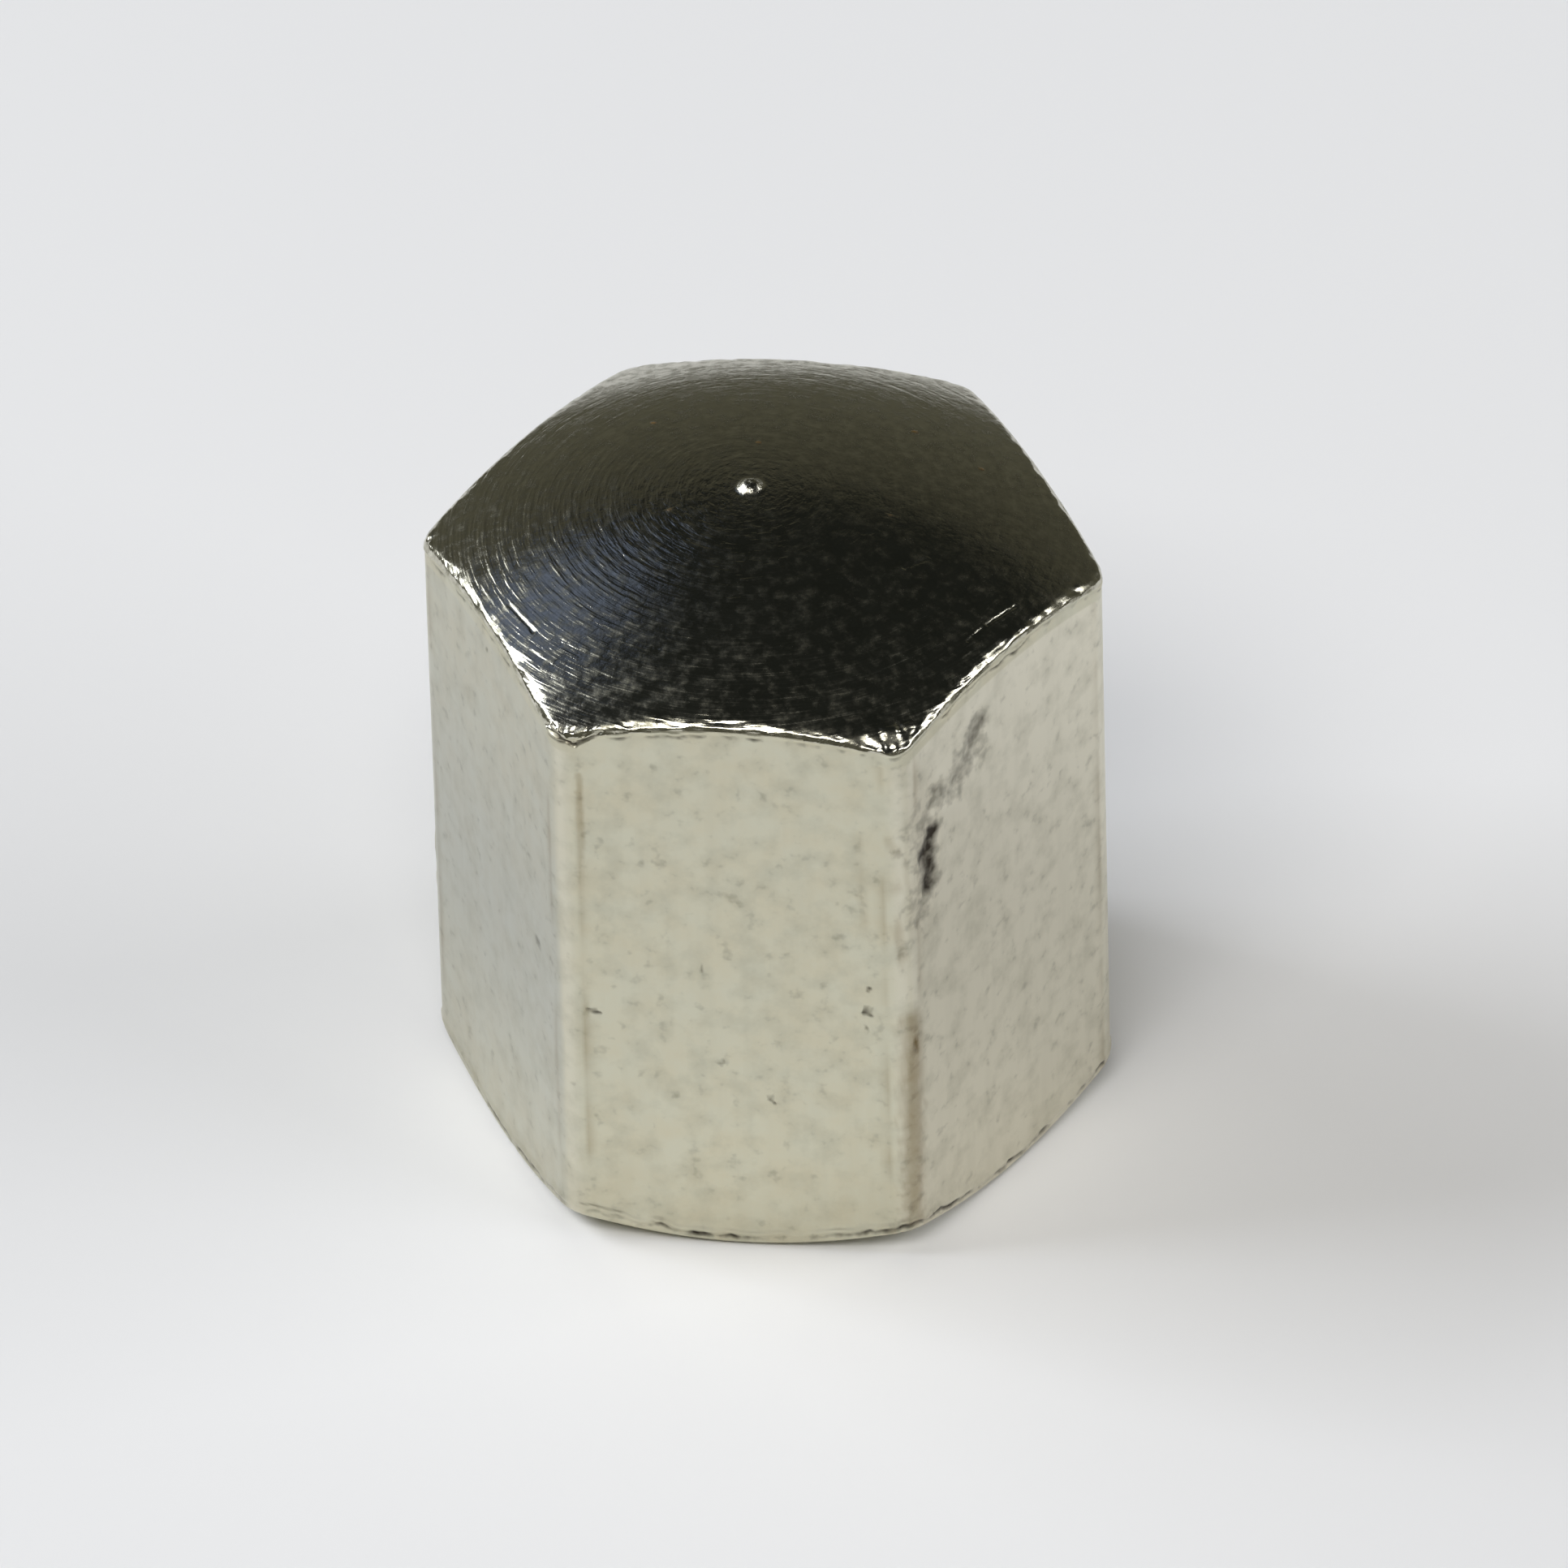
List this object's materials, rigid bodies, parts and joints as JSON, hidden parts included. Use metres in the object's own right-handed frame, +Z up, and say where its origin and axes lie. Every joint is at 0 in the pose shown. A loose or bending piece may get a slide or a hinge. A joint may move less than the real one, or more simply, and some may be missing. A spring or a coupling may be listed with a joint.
{
  "type": "cap nut",
  "caption": "Closed hexagon cap nut with a low spherical crown, rounded upright edges, a chamfered bearing face and a blind threaded hole.",
  "frame": {"origin": "centre of the round bearing face, on the thread axis", "axes": "+Z up the thread axis to the crown, -Y out of one flat, X across two opposite upright edges"},
  "size_m": [0.0148, 0.013, 0.0157],
  "materials": {
    "nickel_plate": "worn nickel plate on steel: satin and lightly pitted on the flats, bright with fine turning marks on the crown"
  },
  "bodies": {
    "root": {"cap_nut": "nickel_plate"}
  },
  "joints": []
}
